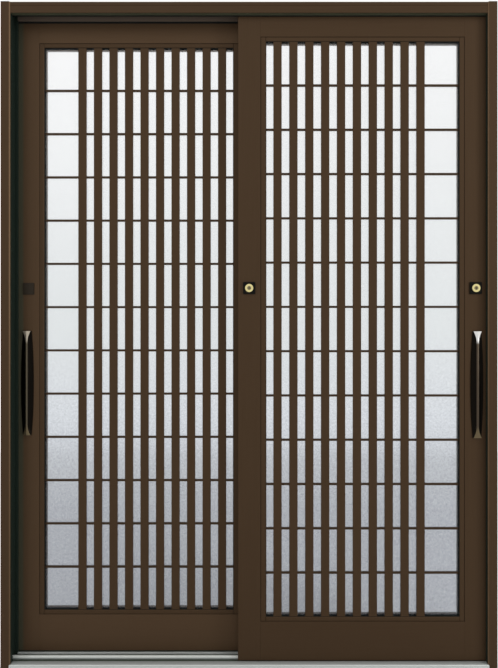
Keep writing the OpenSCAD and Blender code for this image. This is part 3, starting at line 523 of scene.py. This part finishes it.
dress(jamb_finish(), "left_jamb", "right_jamb")
dress(head_finish(), "head")
dress(sill_finish(), "sill")
dress(rail_metal, "rail_caps")
dress(brown_upright, "outer_jamb_stile", *on_leaves("meeting_stile", "slats"))
dress(brown_level, "outer_top_rail", "outer_bottom_rail")
dress(inner_stile_finish(), "inner_jamb_stile")
dress(inner_level_lifted, "inner_top_rail", "inner_bottom_rail")
dress(shaded_bar_brown, *on_leaves("bars"))
dress(frosted_glass(), *on_leaves("glass"))
for side in SIDES:
    dress(bead_finish(side), side + "_beads")
    dress(handle_finish(side), side + "_handle")
dress(cover_brown, "inner_lock_cover")
dress(stainless, "frame_screws", "jamb_strikes", "meeting_strike", "meeting_case", "meeting_bolt")
dress(stainless, *on_leaves("roller_brackets", "leaf_screws", "lock_case", "hook_bolt"))
dress(rubber, "frame_seals", "door_stops", *on_leaves("gasket", "meeting_seal"))
dress(plastic, *on_leaves("roller_1", "roller_2", "top_guides"))
dress(dark_plate, "lock_escutcheons", *on_leaves("inside_pull", "thumb_rose"))
dress(brass, "lock_cylinders")
dress(plug_brass, "jamb_key_plug", "meeting_key_plug")
dress(turn_metal, "meeting_turn", *on_leaves("thumb_turn"))


# Small screw heads that hold the fittings
def closed_pairs(row):
    return zip(row, row[1:] + row[:1])


def screw_head(name, place, outwards, body):
    """A low round head with a cross recess, on a face that looks outwards."""
    shape = bmesh.new()
    turn = Vector(outwards).to_track_quat("Z", "Y")

    def row(flat, height):
        return [shape.verts.new(Vector(place) + turn @ Vector((x, y, height))) for x, y in flat]

    steps = [2 * math.pi * i / SCREW_SIDES for i in range(SCREW_SIDES)]
    circle = [(SCREW_R * math.cos(a), SCREW_R * math.sin(a)) for a in steps]
    quarter = [(CROSS_ARM, -CROSS_HALF), (CROSS_ARM, CROSS_HALF), (CROSS_HALF, CROSS_HALF)]
    cross = list(quarter)
    for _ in range(3):
        quarter = [(-y, x) for x, y in quarter]
        cross += quarter
    foot = row(circle, 0.0)
    rim = row([(RIM_SHARE * x, RIM_SHARE * y) for x, y in circle], SCREW_PROUD)
    lip = row(cross, SCREW_PROUD)
    base = row(cross, SCREW_PROUD - CROSS_DEEP)
    for low, high in ((foot, rim), (base, lip)):
        for (a, b), (c, d) in zip(closed_pairs(low), closed_pairs(high)):
            shape.faces.new((a, b, d, c))
    shape.faces.new(foot)
    shape.faces.new(base)
    edges = [shape.edges.get(pair) for loop in (rim, lip) for pair in closed_pairs(loop)]
    bmesh.ops.triangle_fill(shape, edges=edges, use_beauty=True)
    bmesh.ops.recalc_face_normals(shape, faces=shape.faces)
    mesh = bpy.data.meshes.new(name)
    shape.to_mesh(mesh)
    shape.free()
    mesh.materials.append(stainless)
    piece = bpy.data.objects.new(name, mesh)
    bpy.context.scene.collection.objects.link(piece)
    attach(piece, body)


ENDS = (("low", -1), ("high", 1))
TURNS = {"outer_thumb_turn": "outer", "inner_thumb_turn": "inner", "meeting_turn": "inner"}
for name, side in TURNS.items():
    middle = corner_box(name)[2]
    face_y = corner_box(side + "_thumb_rose")[1].y
    for end, way in ENDS:
        place = (middle.x + way * ROSE_SCREW, face_y, middle.z + way * ROSE_SCREW)
        screw_head(f"{name}_screw_{end}", place, ROOM_SIDE, side + "_leaf")
for side, edge in zip(SIDES, (1, -1)):
    low, high, middle = corner_box(side + "_inside_pull")
    for end, way in ENDS:
        place = (middle.x, high.y - PULL_DEEP, middle.z + way * PULL_SCREW_Z)
        screw_head(f"{side}_pull_screw_{end}", place, ROOM_SIDE, side + "_leaf")
    low, high, _ = corner_box("jamb_strikes")
    face_x = (high.x if edge > 0 else low.x) - edge * STRIKE_T
    middle_y = corner_box(side + "_jamb_stile")[2].y
    for end, z in (("low", low.z + STRIKE_END), ("high", high.z - STRIKE_END)):
        screw_head(f"{side}_strike_screw_{end}", (face_x, middle_y, z), (-edge, 0, 0), "frame")
low, high, middle = corner_box("meeting_strike")
for end, z in (("low", low.z + MEETING_END), ("high", high.z - MEETING_END)):
    screw_head(f"meeting_strike_screw_{end}", (middle.x, high.y, z), ROOM_SIDE, "outer_leaf")


# Studio
def add_floor():
    """A pale floor, well past the object on all sides."""
    finish = grained(
        "stage", STAGE, STAGE, STAGE_GRAIN, metallic=0.0, roughness=(0.85, 0.95), relief=0.0)
    corners = [(-FLOOR_REACH, -FLOOR_REACH, 0), (FLOOR_REACH, -FLOOR_REACH, 0),
               (FLOOR_REACH, FLOOR_BACK, 0), (-FLOOR_REACH, FLOOR_BACK, 0)]
    mesh = bpy.data.meshes.new("floor")
    mesh.from_pydata(corners, [], [(0, 1, 2, 3)])
    mesh.materials.append(finish)
    item = bpy.data.objects.new("floor", mesh)
    bpy.context.scene.collection.objects.link(item)


def studio_world():
    """Soft white surroundings: full white to the eye and in reflections, dimmer as a light."""
    world = bpy.data.worlds.new("studio")
    world.use_nodes = True
    tree = world.node_tree
    back = tree.nodes["Background"]
    back.inputs["Color"].default_value = (*WHITE, 1.0)
    path = tree.nodes.new("ShaderNodeLightPath")
    seen = path.outputs["Is Camera Ray"]
    for output in ("Is Glossy Ray", "Is Transmission Ray"):
        seen = maths(tree, "MAXIMUM", seen, path.outputs[output])
    tree.links.new(spread(tree, seen, WORLD_LIGHT, WORLD_SEEN), back.inputs["Strength"])
    bpy.context.scene.world = world


def softbox(name, place, aim, size, watts):
    lamp = bpy.data.lights.new(name, "AREA")
    lamp.shape = "RECTANGLE"
    lamp.size, lamp.size_y = size
    lamp.energy = watts
    item = bpy.data.objects.new(name, lamp)
    item.location = place
    item.rotation_euler = (Vector(aim) - Vector(place)).to_track_quat("-Z", "Y").to_euler()
    item.visible_transmission = False
    bpy.context.scene.collection.objects.link(item)


def add_camera():
    """The photograph's camera: level, square to the door, with its picture shifted."""
    lens = bpy.data.cameras.new("camera")
    lens.sensor_width = SENSOR_MM
    lens.lens = FOCAL_PX * SENSOR_MM / IMAGE_H
    lens.shift_x = (IMAGE_W / 2 - CENTRE_PX) / IMAGE_H
    lens.shift_y = (HORIZON_PX - IMAGE_H / 2) / IMAGE_H
    item = bpy.data.objects.new("camera", lens)
    item.location = (CAMERA_X, FRAME_FRONT - CAMERA_BACK, CAMERA_Z)
    item.rotation_euler = (math.pi / 2, 0.0, 0.0)
    bpy.context.scene.collection.objects.link(item)
    bpy.context.scene.camera = item


add_floor()
studio_world()
softbox("front_light", place=(-1.2, -4.2, 3.6), aim=(0, 0, 1.1), size=(3.0, 3.0), watts=10)
softbox("back_light", place=(-1.8, 4.2, 3.6), aim=(-0.4, 0, 0.8), size=(3.0, 3.0), watts=16)
softbox("strip_left", place=(-3.0, -1.75, 2.75), aim=(0.8, 0, 2.75), size=(0.7, 3.8), watts=18)
softbox("strip_right", place=(3.0, -1.75, 2.75), aim=(-0.8, 0, 2.75), size=(0.7, 3.8), watts=60)
add_camera()
bpy.context.scene.view_settings.view_transform = "Standard"
